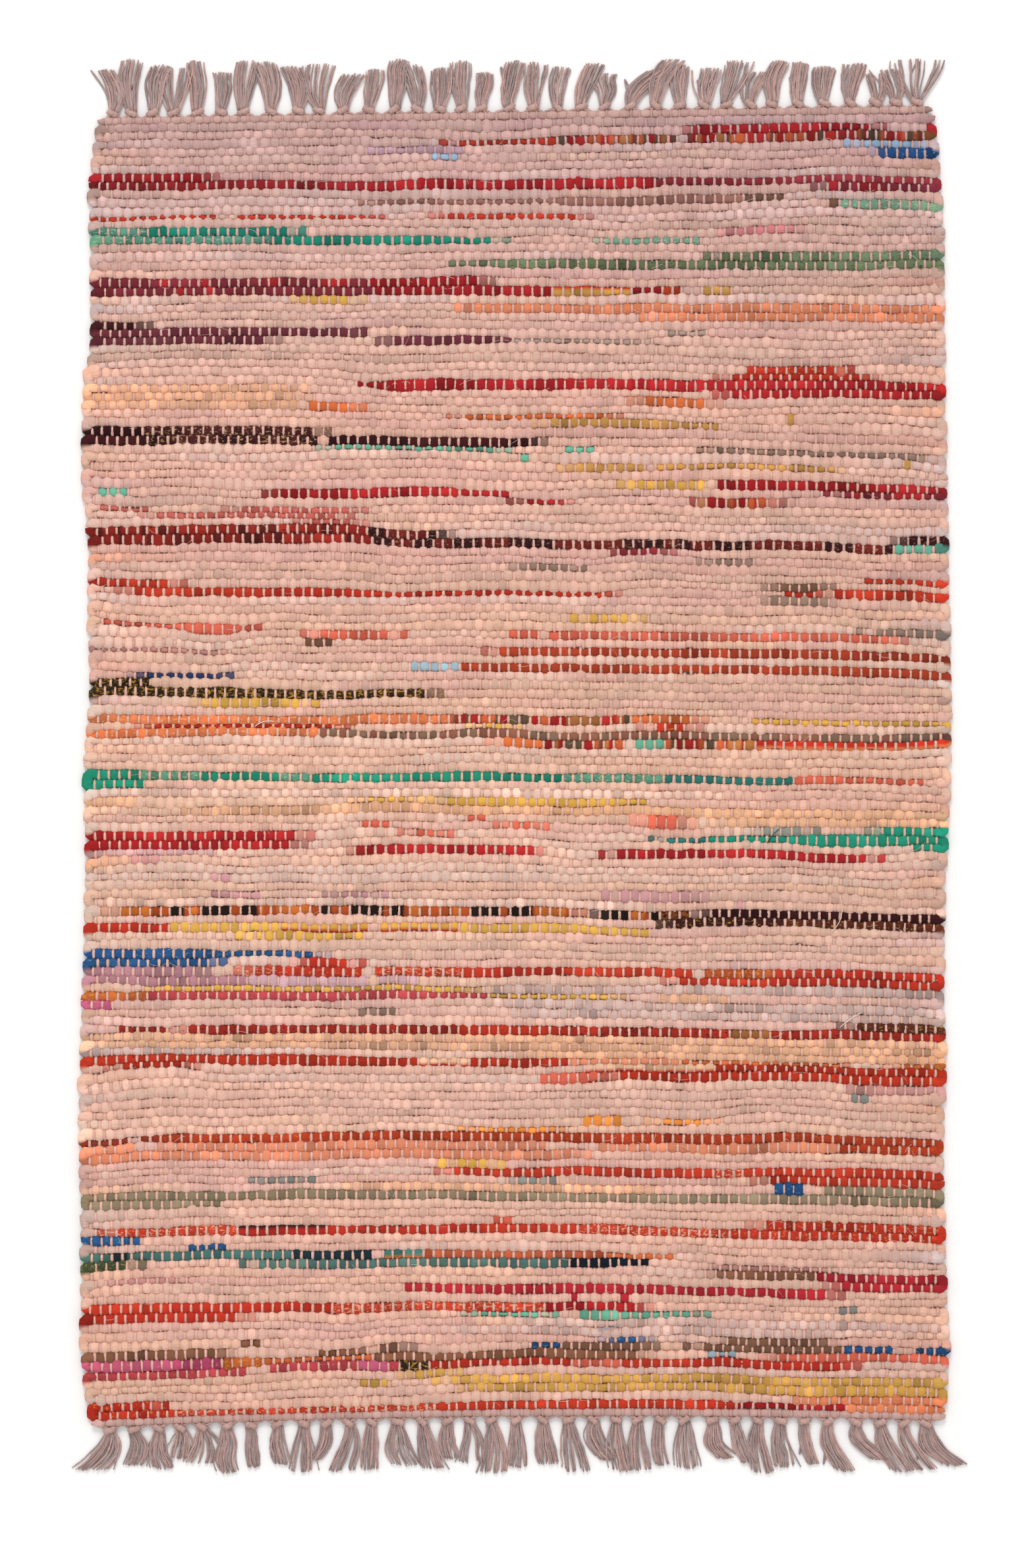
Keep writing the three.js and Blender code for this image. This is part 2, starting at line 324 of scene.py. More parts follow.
        (22.7, 26.6, 38.3), (43.6, 45.5, 84.8, 0.6), (24.1, 26.4, 2.7, 0.7), (53, 58.5, 2.1, 0.7),
    ],
    "navy": [
        (54.5, 59, 2.8), (0, 10, 58), (0, 10.5, 58.6, 0.9), (10, 17.3, 58.15, 0.45),
        (47.8, 50.2, 74, 1.4), (0, 3, 77.8, 1.2), (3, 4.1, 77.8, 0.5), (7.3, 10.5, 78.3, 0.5),
        (30.9, 33.6, 84.8, 0.5), (35.5, 40, 85, 0.55), (53.6, 56.1, 85.2, 0.8), (57.7, 59.1, 85.2, 0.5),
        (59, 60, 85.5, 1.1), (52.8, 53.3, 84.8),
    ],
    "indigo": [(3, 10.5, 38.9, 0.5)],
    "slate": [
        (29.1, 32.7, 74, 0.7), (11.8, 16.4, 73.8, 0.6), (53.4, 54.8, 68.4), (45.5, 50.9, 49.5, 0.9),
        (52.3, 53.4, 82.5),
    ],
    "taupe": [
        (53.6, 59.5, 36.1, 0.8), (46.8, 52.7, 33.1), (42.7, 58.2, 23.5, 0.5), (30, 35, 31.2, 0.7),
        (42.3, 46.4, 31.2, 0.7), (19.3, 21.8, 61.8, 0.8),
    ],
    "mist": [
        (28.6, 60, 60.6), (28.6, 60, 61.9), (30, 60, 62.4), (30, 60, 83.5), (30, 60, 84), (0.5, 16, 64.5),
    ],
    "redOverOrange": [(46.8, 59.5, 43.7)],
    "redYellow": [(32.3, 38.2, 12.2)],
    "redEdge": [(23.4, 26.6, 65.4), (34.5, 44.1, 65.6)],
    "blackRed": [(10.9, 17.3, 77.2)],
    "redCream": [
        (43.6, 45.9, 73.05), (1.4, 10.9, 77.3), (17.5, 31.8, 82.5), (10.9, 14.5, 58.9), (20, 26.4, 58.9),
        (34.1, 40.5, 77.2), (40.5, 44.5, 77.3, 0.9), (13.6, 24.5, 89.4, 0.6), (6.4, 13.6, 89.5, 0.6),
    ],
    "raspberry": [
        (22.4, 25.9, 81), (25.9, 49.1, 81.1), (49.1, 53.2, 81.2, 1.3), (51, 60, 80.6), (51, 60, 81.3),
        (33.9, 34.1, 81.8), (37.6, 37.8, 81.8),
    ],
    "tiger": [(1.6, 18.6, 55), (18.6, 35.5, 55.3), (35.5, 40, 55.8)],
    "tigerDark": [(40, 42.3, 55.8)],
    "darkGold": [(40, 59.1, 56), (52.3, 59.5, 63.1, 0.9)],
    "redBlack": [
        (6.4, 20, 63.3), (20, 26.4, 63.4), (34.1, 44.5, 63.7), (50, 60, 63.7), (2.9, 6.3, 63, 0.5),
        (48, 50.5, 63.9),
    ],
    "brick": [
        (26.4, 34.1, 63.5), (0.9, 20, 65.2, 1.25), (1.4, 8.2, 64.8, 0.6), (20, 23.6, 65.3),
        (26.8, 34.5, 65.4), (44.1, 60, 65.6), (36.1, 60, 66.2),
    ],
    "lilac": [(20, 26.4, 2.6, 0.8), (1.4, 9.5, 51.1, 0.8), (11.8, 20, 59.8), (20.5, 23.6, 59.5, 0.8)],
    "mauve": [(0.5, 9.5, 59.2), (0.5, 11.8, 59.8, 0.9)],
    "pinkMauve": [
        (35.7, 43.6, 53.8, 1.35), (9.1, 12.7, 54.2, 0.8), (16.4, 21.8, 54.2, 0.7), (3.6, 5.5, 51.5),
        (45, 45.5, 54.6), (9.1, 10.2, 52.5),
    ],
    "duskyRose": [
        (0.7, 10.5, 37.2, 0.4), (1.3, 8, 80.5, 0.45), (43.6, 51.8, 79.6, 0.5), (53.2, 59.1, 67.9),
    ],
    "shell": [(0.5, 44.5, 46.8), (1.4, 40, 54.4), (0.5, 9.5, 13), (53.2, 54.5, 6.2)],
    "pinkRed": [
        (5, 24.1, 61.2), (24.1, 28.2, 61.1, 0.5), (0.5, 12, 87.15), (13, 19.6, 86.7, 1.1),
        (21.3, 22.3, 86.6),
    ],
    "magenta": [(0.5, 2.3, 61.2), (0.5, 10.3, 86.55, 1.35), (19.6, 21.3, 86.7, 1.3)],
    "peach": [(31, 45, 2.8, 0.8), (21.8, 24.1, 28.6)],
    "tangerine": [(34.3, 37.7, 69.7), (40.2, 44.3, 69.7, 0.5), (25.9, 34, 70.15, 0.5)],
    "orangeDark": [
        (39.9, 41.3, 11.95), (5.9, 14.1, 70.7), (14.1, 26.4, 70.55), (26.4, 30.9, 70.7),
        (30.9, 47.3, 70.8), (47.3, 51.8, 70.7), (51.8, 60, 71), (52.5, 60, 71.4),
    ],
    "sage": [
        (0.9, 8.6, 74.6), (0.5, 7.3, 75.2), (7.3, 10, 75, 0.5), (9.1, 26.4, 74.5), (26.4, 40, 74.8),
        (40, 46.8, 75), (51.1, 60, 74.4), (46.8, 60, 75),
    ],
    "teal": [(0.5, 10.9, 78.8), (10.9, 20, 78.6)],
    "moss": [(0.2, 5, 79.4)],
    "tealOrange": [(20.9, 24.1, 78.5)],
    "lemon": [(21.4, 26.4, 87.1), (24.1, 60, 87.1), (25.9, 60, 87.7), (19.1, 21.4, 87.6)],
    "plum": [(0.9, 20, 15.2), (0.5, 14.1, 15.6), (20, 28.6, 15.6), (28.6, 30.5, 15.7, 0.6)],
}

# Where each row runs: solved across the cloth at even columns
pickCount = weave["picks"]
columnCount = 121
columnCm = np.linspace(0, 60, columnCount)
columnU = columnCm / 30 - 1
fieldTop = farEnd(columnU) - weave["headingRows"] * weave["headingPitch"] - 0.1
fieldFoot = nearEnd(columnU) + weave["headingRows"] * weave["headingPitch"] + 0.1
pitch = (fieldTop - fieldFoot) / pickCount
downShare = (np.arange(pickCount)[:, None] + 0.5) / pickCount
leanHere = np.interp(downShare, outline["leanAt"], outline["lean"])
plainRows = fieldTop + (fieldFoot - fieldTop) * downShare + 0.5 * columnU * leanHere


def columnOf(cm):
    return int(round(np.clip(cm / 60, 0, 1) * (columnCount - 1)))


def makeRuns():
    runs = []
    for rag, stretches in plan.items():
        for stretch in stretches:
            start, end, down = stretch[:3]
            fat = stretch[3] if len(stretch) > 3 else 1.0
            middle = columnOf((start + end) / 2)
            level = np.interp(down, (farMiddle - plainRows[:, middle]) / 10, np.arange(pickCount))
            runs.append({"rag": rag, "from": start, "to": end, "down": down, "fat": fat,
                         "middle": middle, "level": level, "columns": (columnOf(start), columnOf(end))})
    return sorted(runs, key=lambda run: run["from"])


# Stretches that meet end to end lie in one row, and each such chain takes the nearest free row
def chainRuns(runs):
    chains = []
    for run in runs:
        for chain in chains:
            last = chain[-1]
            if abs(run["from"] - last["to"]) < 1.2 and abs(run["level"] - last["level"]) < 0.62:
                chain.append(run)
                break
        else:
            chains.append([run])
    return chains


def layRuns(chains):
    taken = np.zeros((pickCount, columnCount), bool)
    laid = []
    for chain in sorted(chains, key=lambda chain: chain[0]["from"] - chain[-1]["to"]):
        spans = [run["to"] - run["from"] for run in chain]
        level = np.average([run["level"] for run in chain], weights=spans)
        cut = slice(chain[0]["columns"][0] + 1, max(chain[-1]["columns"][1], chain[0]["columns"][0] + 2))
        for pick in sorted(range(pickCount), key=lambda pick: abs(pick - level)):
            if not taken[pick, cut].any():
                break
        if abs(pick - level) > 2.6:
            print("no room for", chain[0]["rag"], chain[0]["from"], chain[0]["down"])
            continue
        taken[pick, cut] = True
        chain[0]["opens"] = chain[-1]["closes"] = True
        laid += [(pick, run) for run in chain]
    return laid


laidRuns = layRuns(chainRuns(makeRuns()))
print("laid", len(laidRuns), "coloured stretches")


settle = {
    "plainHold": 0.012,            # how firmly a plain row keeps its even place
    "stretchHold": 0.2,            # and a coloured stretch its planned one
    "leastFat": 0.28,
    "mostFat": 1.6,
    "leastGap": 0.4,               # from one row to the next, in even pitches
}


# A row bulges where its rag is fat and closes up where it is thin, and the coloured
# stretches pull their rows to where the plan has them
def settleRows():
    fat = 1 + 0.13 * wander(pickCount, columnCount, 4)
    goal = plainRows * settle["plainHold"]
    pull = np.full_like(plainRows, settle["plainHold"])
    for pick, run in laidRuns:
        cut = slice(run["columns"][0], run["columns"][1] + 1)
        fat[pick, cut] = run["fat"] * (1 + 0.06 * wander(1, columnCount, 4)[0, cut])
        offset = farMiddle - run["down"] * 10 - plainRows[pick, run["middle"]]
        goal[pick, cut] += settle["stretchHold"] * (plainRows[pick, cut] + offset)
        pull[pick, cut] += settle["stretchHold"]
    fat = np.clip(blurred(fat, 1), settle["leastFat"], settle["mostFat"])
    steps = np.zeros((pickCount + 1, pickCount))
    steps[np.arange(pickCount), np.arange(pickCount)] = 1
    steps[np.arange(1, pickCount + 1), np.arange(pickCount)] -= 1
    spacing = np.zeros((pickCount + 1, columnCount))
    spacing[0] = fieldTop - pitch * fat[0] / 2
    spacing[1:-1] = -pitch * (fat[:-1] + fat[1:]) / 2
    spacing[-1] = -(fieldFoot + pitch * fat[-1] / 2)
    rows = np.empty_like(plainRows)
    for column in range(columnCount):
        system = steps.T @ steps + np.diag(pull[:, column])
        rows[:, column] = np.linalg.solve(system, steps.T @ spacing[:, column] + goal[:, column])
    rows = blurred(rows, 2)
    rows[0] = np.minimum(rows[0], fieldTop - 0.3 * pitch)
    for pick in range(1, pickCount):
        rows[pick] = np.minimum(rows[pick], rows[pick - 1] - settle["leastGap"] * pitch)
    rows[-1] = np.maximum(rows[-1], fieldFoot + 0.3 * pitch)
    for pick in range(pickCount - 2, -1, -1):
        rows[pick] = np.maximum(rows[pick], rows[pick + 1] + settle["leastGap"] * pitch)
    return rows, fat


ragRows, ragFat = settleRows()
print("rows settled")

# All rows, headings too, and the warp ends that cross them
headingRows = weave["headingRows"]
rowCount = pickCount + 2 * headingRows
bundleEnds = [weave["endsPerTassel"] - (i % 6 == weave["oneEndLess"]) for i in range(weave["tassels"])]
bundleStart = np.concatenate([[0], np.cumsum(bundleEnds)])
endCount = int(bundleStart[-1])
perEnd = weave["samplesPerEnd"]
ringCount = (endCount - 1) * perEnd + 1
ringEnd = np.arange(ringCount) / perEnd        # each ring's place, counted in warp ends

fringe = {
    # how far each knot is pulled sideways, how far its strands lean, and half the width they fan to
    "farPull": [-1, -7, -9, -9, -7, -8, -9, -8, -5, -7, -5, -4, -3, -5, -5, -6, -8, -5, -6, -6, -5, -5,
                -3, -2, -3, -2, -4, -2, -3, -2, 1, 0, 1, 0, -1],
    "farLean": [-4, 0, 6, 1.5, -2, 1, 4, -5, -5, 0, 7, 3.5, 3.5, -4, 2, 0, 3, 4, 2, 3, 9, 2, 20, 12, 0, 5,
                8, 6, 6, 2, 1, 5, 1, 0, 1],
    "farFan": [5, 5, 6, 6, 5, 5, 6, 7, 8, 9, 6, 6, 5, 7, 6, 5, 5, 6, 5, 6, 6, 5, 6, 6, 5, 6, 7, 6, 5, 5,
               6, 6, 5, 6, 15],
    "nearPull": [2, 1, 1, 0, 1, 1, 0, 0, 2, 3, 2, 1, 2, 0, 2, 2, 1, 1, 2, 3, 2, 3, 2, 1, 0, 2, 1, 0, 2, 1,
                 1, 2, 2, 3, 2],
    "nearLean": [-13, 0, 3, 0, 0, -2, 1, 4, -2, -9, -2, -2, 7, 8, 2, 2, 1, 0, 3, 6, 11, 5, 2, 1, 3, 8, 10,
                 5, 2, 6, 11, 17, 15, 15, 19],
    "nearFan": [10, 6, 5, 6, 9, 6, 5, 6, 5, 3, 6, 5, 8, 6, 5, 6, 6, 5, 6, 6, 5, 6, 5, 3, 6, 6, 5, 5, 6, 3,
                7, 6, 6, 5, 7],
    "tipReach": 488.5,             # of the longest tassels, from the middle of the rug
    "trims": [2, 7, 1, 5, 0, 9, 3, 4, 1, 10, 6],
    "knotGap": 3.2,                # from the woven end to the middle of the knot
    "knotShape": (1.12, 0.52, 0.85),
    "knotTurn": 0.12,              # how far a knot lies turned, in radians
    "cordRadius": 1.95,            # of the yarns together, where they are tied
    "strandsPerEnd": 4,
    "strandRadius": 0.68,
    "rings": 12,
    "parted": 0.4,                 # share of tassels that part in two
    "stray": 0.05,                 # share of strands that stray
    "looped": 0.3,                 # share of tassels with an open loop
}

bundleMiddle = (bundleStart[:-1] + bundleStart[1:] - 1) / 2
pulls = {side: np.interp(np.arange(endCount), bundleMiddle, fringe[side + "Pull"])
         for side in ("far", "near")}
rowShare = np.clip((np.arange(rowCount) - headingRows + 0.5) / pickCount, -0.01, 1.01)[:, None]
endsDrift = 0.32 * wander(endCount, rowCount, 9).T + 0.28 * rng.standard_normal(endCount)
leftEnd = selvedgeAt(-1, rowShare) + weave["edgeInset"]
rightEnd = selvedgeAt(1, rowShare) - weave["edgeInset"]
endX = leftEnd + (rightEnd - leftEnd) * np.arange(endCount) / (endCount - 1) + endsDrift
endX += pulls["far"] * np.exp(-rowShare.clip(0) * pickCount / weave["pullFades"])
endX += pulls["near"] * np.exp((rowShare.clip(None, 1) - 1) * pickCount / weave["pullFades"])
ringX = np.array([np.interp(ringEnd, np.arange(endCount), line) for line in endX])


def acrossRings(values, x):
    return np.array([np.interp(x[row], columnU * 300, values[row]) for row in range(len(values))])


middleRows = slice(headingRows, rowCount - headingRows)
ringY = np.empty_like(ringX)
ringFat = np.full_like(ringX, 0.5)
ringY[middleRows] = acrossRings(ragRows, ringX[middleRows])
ringFat[middleRows] = acrossRings(ragFat, ringX[middleRows])
for row in range(headingRows):
    fromEdge = (row + 0.5) * weave["headingPitch"]
    ringY[row] = farEnd(ringX[row] / 300) - fromEdge
    ringY[-1 - row] = nearEnd(ringX[-1 - row] / 300) + fromEdge

ringHalf = np.full_like(ringX, weave["headingPitch"] * 0.56)
above = np.vstack([2 * ringY[headingRows] - ringY[headingRows + 1], ringY[middleRows][:-1]])
below = np.vstack([ringY[middleRows][1:], 2 * ringY[-1 - headingRows] - ringY[-2 - headingRows]])
fatHere = ringFat[middleRows]
fatAbove = np.vstack([fatHere[:1], fatHere[:-1]])
fatBelow = np.vstack([fatHere[1:], fatHere[-1:]])
ringHalf[middleRows] = ((above - below) * fatHere / (fatAbove + 2 * fatHere + fatBelow)).clip(1.1, 5)
isRag = np.zeros((rowCount, 1), bool)
isRag[middleRows] = True

# Each row passes over one warp end and under the next, and its neighbours do the opposite
phase = ringEnd + np.arange(rowCount)[:, None]
proud = (1 - np.cos(math.pi * phase)) / 2      # 1 in the middle of a bead, 0 under the warp
beadIndex = np.floor(phase / 2).astype(int) - np.arange(rowCount)[:, None] // 2
beadIndex = beadIndex.clip(0, endCount // 2 + 1)


def perBead(strength):
    draws = rng.standard_normal((rowCount, endCount // 2 + 2)) * strength
    return np.take_along_axis(draws, beadIndex, 1)


rough = np.where(isRag, 1, 0.25)
ringWide = ringHalf * 1.14 * (0.93 + 0.07 * proud ** 0.6)
ringWide *= 1 + rough * (perBead(0.10) * proud + 0.05 * wander(rowCount, ringCount, 4))
tallNow = np.where(isRag, weave["ragHalfHeight"] * ringFat ** 0.45, 1.6)
ringTall = tallNow * (0.78 + 0.27 * proud ** 0.7) * (1 + rough * perBead(0.06) * proud)
ringZ = weave["middleHeight"] - np.where(isRag, weave["undulation"], 0.55) * np.cos(math.pi * phase)
ringZ += rough * (perBead(0.16) * proud + 0.10 * wander(rowCount, ringCount, 8))
ringY += rough * (perBead(0.28) * proud + 0.10 * wander(rowCount, ringCount, 3))
print("rows shaped:", rowCount, "rows over", endCount, "warp ends")


# The cloth is duller and cooler at the far end, and a little darker to the right
placeTint = {
    "down": [0, 1.5, 4, 10, 15, 22, 30, 45, 60, 75, 90],
    "red": [0.66, 0.70, 0.76, 0.80, 0.84, 0.88, 0.88, 0.93, 0.91, 0.92, 0.88],
    "green": [0.70, 0.74, 0.79, 0.82, 0.87, 0.88, 0.89, 0.95, 0.95, 0.93, 0.87],
    "blue": [0.86, 0.87, 0.89, 0.90, 0.93, 0.90, 0.92, 0.92, 0.98, 0.95, 0.89],
    "rightLoss": 0.07,
}


def castAt(x, y):
    down = (farMiddle - y) / 10
    tones = [np.interp(down, placeTint["down"], placeTint[channel]) for channel in ("red", "green", "blue")]
    return np.stack(tones, -1) * (1 - placeTint["rightLoss"] * (x / 300).clip(0, 1))[..., None]


wear = {
    "mottle": 0.05,                # shading along a row
    "rowTone": 0.04,               # from row to row
    "beadTone": 0.05,              # from bead to bead
    "warmth": 0.02,
    "liveliness": 2.2,             # of a coloured stretch, to one for the ground
    "fadeBeads": 2,                # of a long stretch's ends that give way to the ground
    "fadeFrom": 5,                 # beads in the shortest stretch that fades
}


# The dye of every row at every ring. Plain rows are long strips, sewn end to end and woven
# back and forth, so a strip goes on in the next row from the same selvedge.
ragNames = list(rags)


def groundStrips():
    names = list(groundRags)
    weights = np.array(list(groundRags.values()))
    along = np.empty(pickCount * ringCount, int)
    at = 0
    while at < len(along):
        length = int(ringCount * rng.uniform(0.25, 2.6))
        along[at:at + length] = ragNames.index(rng.choice(names, p=weights / weights.sum()))
        at += length
    strips = along.reshape(pickCount, ringCount)
    strips[1::2] = strips[1::2, ::-1].copy()
    return strips


def snapToWarp(cm, row):
    end = np.interp(cm * 10 - 300, endX[row], np.arange(endCount))
    return int((2 * round((end + row) / 2) - row) * perEnd)


groundHere = groundStrips()
secondGround = groundStrips()
ragHere = groundHere.copy()
fading = np.zeros((pickCount, ringCount))      # where a coloured stretch gives way to the ground
beadLength = 2 * perEnd
for pick, run in laidRuns:
    row = pick + headingRows
    start = 0 if run["from"] < 1.2 else max(snapToWarp(run["from"], row), 0)
    end = ringCount if run["to"] > 58.8 else max(snapToWarp(run["to"], row), start + beadLength)
    ragHere[pick, start:end] = ragNames.index(run["rag"])
    fadeLength = beadLength * wear["fadeBeads"]
    if end - start > wear["fadeFrom"] * beadLength:
        if "opens" in run and start > 0:
            fading[pick, start:start + fadeLength] = 0.5
        if "closes" in run and end < ringCount:
            fading[pick, end - fadeLength:end] = 0.5
isGround = ragHere == groundHere

dye = {key: np.zeros((pickCount, ringCount, 4)) for key in ("base", "print", "edge")}
longPatch = asShare(wander(pickCount, ringCount, 40))
shortPatch = {2: asShare(wander(pickCount, ringCount, 3)), 3: asShare(wander(pickCount, ringCount, 5)),
              5: asShare(wander(pickCount, ringCount, 9))}
for index, name in enumerate(ragNames):
    rag = rags[name]
    here = ragHere == index
    if not here.any():
        continue
    tones = np.array([linear(tone) for tone in rag["tones"]])
    patch = shortPatch.get(rag.get("patch"), longPatch)[here]
    dye["base"][here, :3] = tones[np.minimum((patch * len(tones)).astype(int), len(tones) - 1)]
    if "print" in rag:
        dye["print"][here] = [*linear(rag["print"]), rag["share"]]
    for side, sign in (("near", -1), ("far", 1)):
        if side in rag:
            dye["edge"][here] = [*linear(rag[side]), sign]
toneOf = np.array([linear(rags[name]["tones"][0]) for name in ragNames])
blend = asShare(2.5 * wander(pickCount, ringCount, 14))[..., None]
mixed = toneOf[groundHere] * (1 - blend) + toneOf[secondGround] * blend
dye["base"][..., :3] = np.where(isGround[..., None], mixed, dye["base"][..., :3])
faded = (fading * asShare(perBead(1.0))[middleRows] * 1.3)[..., None] * ~isGround[..., None]
dye["base"][..., :3] = dye["base"][..., :3] * (1 - faded) + mixed * faded
lively = np.where(isGround, 1, wear["liveliness"])
dye["base"][..., :3] *= castAt(ringX[middleRows], ringY[middleRows])
shade = 1 + wear["mottle"] * lively * wander(pickCount, ringCount, 6)
shade = shade + wear["rowTone"] * rng.standard_normal((pickCount, 1))
shade = (shade + lively * perBead(wear["beadTone"])[middleRows]).clip(0.55, 1.5)
warmth = wear["warmth"] * wander(pickCount, ringCount, 30)
dye["base"][..., :3] *= shade[..., None] * np.stack([1 + warmth, 1 + 0 * warmth, 1 - warmth], -1)
print("dyed")


# Closed tubes of thread or rag, gathered into one mesh with their dyes
class TubeMesh:
    def __init__(self):
        self.points, self.quads, self.caps, self.colours, self.prints = [], [], [], [], []
        self.count = 0

    # n closed tubes of equal ring count along centres (n, rings, 3)
    def addTubes(self, centres, wide, tall, sides, colour, printed=None, folds=1.0, squareness=1.0):
        n, rings = centres.shape[:2]
        along = np.gradient(centres, axis=1)
        along /= np.linalg.norm(along, axis=-1, keepdims=True)
        across = np.stack([-along[..., 1], along[..., 0], np.zeros((n, rings))], -1)
        across /= np.linalg.norm(across, axis=-1, keepdims=True) + 1e-9
        upward = np.cross(along, across)
        angle = 2 * math.pi * np.arange(sides) / sides
        out, up = np.cos(angle), np.sin(angle)
        out, up = (np.sign(part) * np.abs(part) ** squareness for part in (out, up))
        outward = np.asarray(wide)[..., None] * out * folds
        upright = np.asarray(tall)[..., None] * up * folds
        points = centres[:, :, None] + across[:, :, None] * outward[..., None]
        points = points + upward[:, :, None] * upright[..., None]
        self.addRings(points, colour, printed)

    # points (n, rings, sides, 3), counted anticlockwise seen from the end of the tube
    def addRings(self, points, colour, printed=None):
        n, rings, sides = points.shape[:3]
        points[..., 2] = np.maximum(points[..., 2], floorClear)
        index = self.count + np.arange(n * rings * sides).reshape(n, rings, sides)
        turned = np.roll(index, -1, axis=2)
        quads = np.stack([index[:, :-1], turned[:, :-1], turned[:, 1:], index[:, 1:]], -1)
        self.quads.append(quads.reshape(-1, 4))
        self.caps += [index[:, 0, ::-1], index[:, -1]]
        self.points.append(points.reshape(-1, 3))
        self.colours.append(np.broadcast_to(colour, points.shape).reshape(-1, 3))
        plain = np.zeros(4) if printed is None else printed
        self.prints.append(np.broadcast_to(plain, (*points.shape[:3], 4)).reshape(-1, 4))
        self.count += n * rings * sides

    def make(self, name, material):
        mesh = bpy.data.meshes.new(name)
        mesh.vertices.add(self.count)
        mesh.vertices.foreach_set("co", (np.concatenate(self.points) * mm).ravel())
        quads = np.concatenate(self.quads)
        corners = [quads.ravel()] + [cap.ravel() for cap in self.caps]
        sizes = [np.full(len(quads), 4)] + [np.full(len(cap), cap.shape[1]) for cap in self.caps]
        corners, sizes = np.concatenate(corners), np.concatenate(sizes)
        mesh.loops.add(len(corners))
        mesh.loops.foreach_set("vertex_index", corners)
        mesh.polygons.add(len(sizes))
        mesh.polygons.foreach_set("loop_start", np.concatenate([[0], np.cumsum(sizes)[:-1]]))
        mesh.polygons.foreach_set("use_smooth", np.ones(len(sizes), bool))
        mesh.update(calc_edges=True)
        colours = np.concatenate(self.colours)
        base = mesh.attributes.new("dyeColour", "FLOAT_COLOR", "POINT")
        base.data.foreach_set("color", np.column_stack([colours, np.ones(len(colours))]).ravel())
        prints = mesh.attributes.new("printColour", "FLOAT_COLOR", "POINT")
        prints.data.foreach_set("color", np.concatenate(self.prints).ravel())
        mesh.materials.append(material)
        piece = bpy.data.objects.new(name, mesh)
        bpy.context.collection.objects.link(piece)
        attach(piece, "root")
        return piece


class Wire:
    def __init__(self, finish, socket):
        self.finish, self.socket = finish, socket

    def __add__(self, other):
        return self.finish.math("ADD", self, other)

    def __sub__(self, other):
        return self.finish.math("SUBTRACT", self, other)

    def __rsub__(self, other):
        return self.finish.math("SUBTRACT", other, self)

    def __mul__(self, other):
        return self.finish.math("MULTIPLY", self, other)

    __radd__ = __add__
    __rmul__ = __mul__


class Finish:
    def __init__(self, name):
        self.material = bpy.data.materials.new(name)
        self.material.use_nodes = True
        self.tree = self.material.node_tree
        self.tree.nodes.clear()

    def node(self, kind, settings=None, inputs=None, output=0):
        made = self.tree.nodes.new("ShaderNode" + kind)
        for key, value in (settings or {}).items():
            setattr(made, key, value)
        for key, value in (inputs or {}).items():
            if isinstance(value, Wire):
                self.tree.links.new(value.socket, made.inputs[key])
            else:
                made.inputs[key].default_value = value
        return Wire(self, made.outputs[output]) if made.outputs else None

    def math(self, operation, first, second, clamp=False):
        return self.node("Math", {"operation": operation, "use_clamp": clamp}, {0: first, 1: second})

    def noise(self, place, scale, stretch=(1, 1, 1), detail=2.0):
        spread = self.node("Mapping", inputs={"Vector": place, "Scale": stretch})
        return self.node("TexNoise", inputs={"Vector": spread, "Scale": scale, "Detail": detail})

    def mix(self, share, first, second):
        return self.node("Mix", {"data_type": "RGBA"}, {0: share, 6: first, 7: second}, output=2)

    def brightened(self, colour, amount):
        return self.node("VectorMath", {"operation": "SCALE"}, {"Vector": colour, "Scale": amount})

    def cloth(self, colour, height, depth, roughness, sheen):
        bump = self.node("Bump", inputs={"Height": height, "Distance": depth, "Strength": 0.8})
        settings = {"Base Color": colour, "Roughness": roughness, "Normal": bump, "Sheen Weight": sheen,
                    "Sheen Roughness": 0.5, "Specular IOR Level": 0.12}
        shader = self.node("BsdfPrincipled", inputs=settings)
        self.node("OutputMaterial", inputs={"Surface": shader})
        return self.material


ragFinish = {
    "creases": 230,                # patterns to the metre
    "folds": 95,
    "flecks": 330,
    "clouds": 60,
    "fuzz": 1300,
    "depth": 0.0007,
    "worn": 0.07,                  # of the fuzz that has lost its dye
    "wornTone": (0.78, 0.60, 0.52, 1),
}


# Torn cotton rag: creased along the row, printed or flecked, a little faded and fuzzy; its creases and
# folds carry painted shade
def ragCloth():
    rag = Finish("ragCloth")
    place = rag.node("TexCoord", output="Object")
    dyed = rag.node("Attribute", {"attribute_name": "dyeColour"}, output="Color")
    printed = rag.node("Attribute", {"attribute_name": "printColour"}, output="Color")
    share = rag.node("Attribute", {"attribute_name": "printColour"}, output="Alpha")
    creases = rag.noise(place, ragFinish["creases"], (1, 4.0, 4.0))
    folded = rag.noise(place, ragFinish["folds"], (1, 2.6, 2.6))
    flecks = rag.noise(place, ragFinish["flecks"], (1, 2.2, 2.2), 3.0)
    cloudy = rag.noise(place, ragFinish["clouds"])
    fuzz = rag.noise(place, ragFinish["fuzz"], (1, 1.8, 1.8))
    mask = rag.math("MULTIPLY", flecks - (0.70 - 0.42 * share), 6, clamp=True)
    colour = rag.mix(mask, dyed, printed)
    # the colour is darker where the crease and fold bump is low, which is painted shade, and varies with
    # the clouds, which is real tone
    colour = rag.brightened(colour, 0.61 + 0.30 * creases + 0.26 * folded + 0.24 * cloudy)
    worn = rag.math("MULTIPLY", fuzz - 0.56, 2.2, clamp=True)
    colour = rag.mix(worn * ragFinish["worn"], colour, ragFinish["wornTone"])
    return rag.cloth(colour, creases + 0.6 * folded + 0.12 * fuzz, ragFinish["depth"], 0.95, 0.03)


yarnFinish = {"plies": 900, "clouds": 120, "depth": 0.0005}
